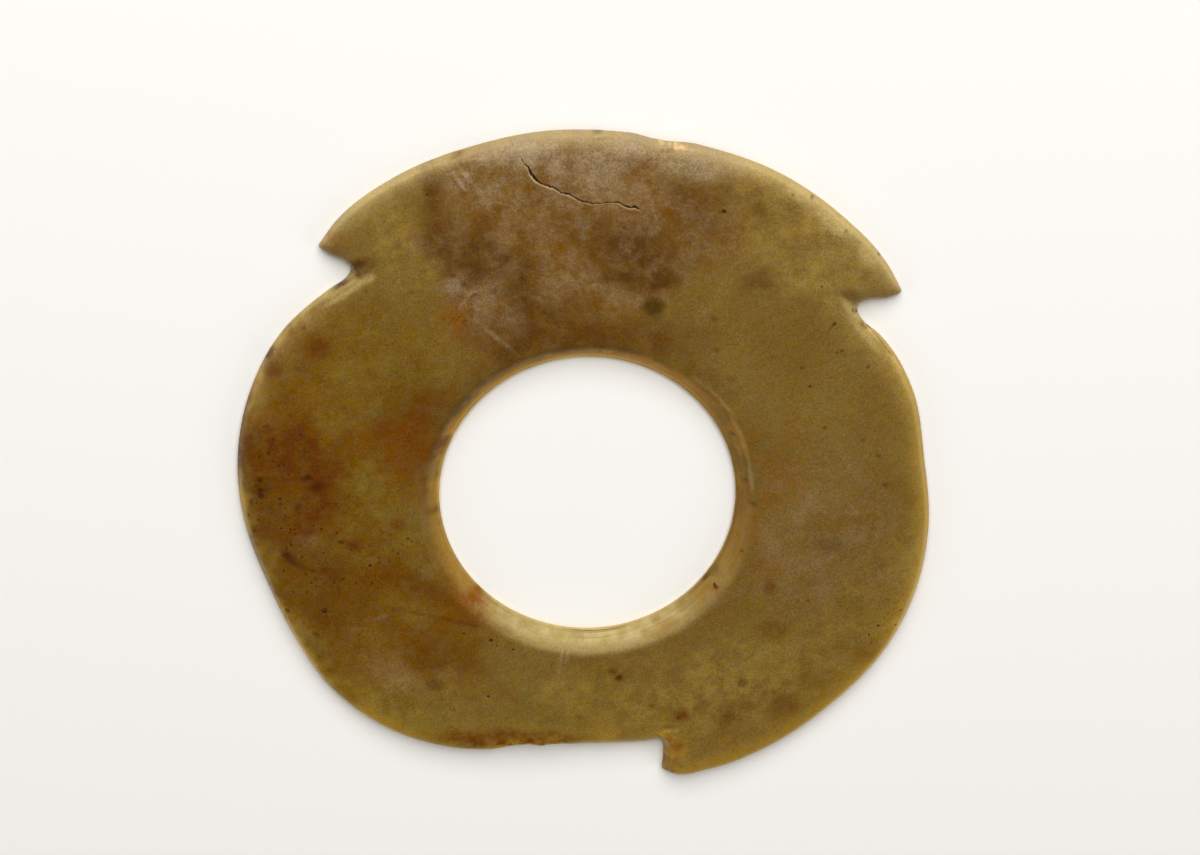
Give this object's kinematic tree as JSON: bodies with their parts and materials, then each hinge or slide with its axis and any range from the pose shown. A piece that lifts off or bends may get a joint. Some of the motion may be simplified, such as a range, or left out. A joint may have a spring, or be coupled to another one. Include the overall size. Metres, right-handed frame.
{
  "type": "toothed bi disc",
  "caption": "Flat jade ritual disc with a wide drilled hole and hooked teeth cut out of its rim.",
  "frame": {"origin": "on the plane that the disc lies on, below the middle of its width and depth", "axes": "+Z out of the worked face, +Y towards the long smooth stretch of rim between the two upper teeth, +X to the right of the picture"},
  "size_m": [0.1208, 0.1218, 0.0051],
  "materials": {
    "jade": "polished, slightly waxy nephrite, olive to honey brown"
  },
  "bodies": {
    "root": {"toothed_disc": "jade"}
  },
  "joints": []
}
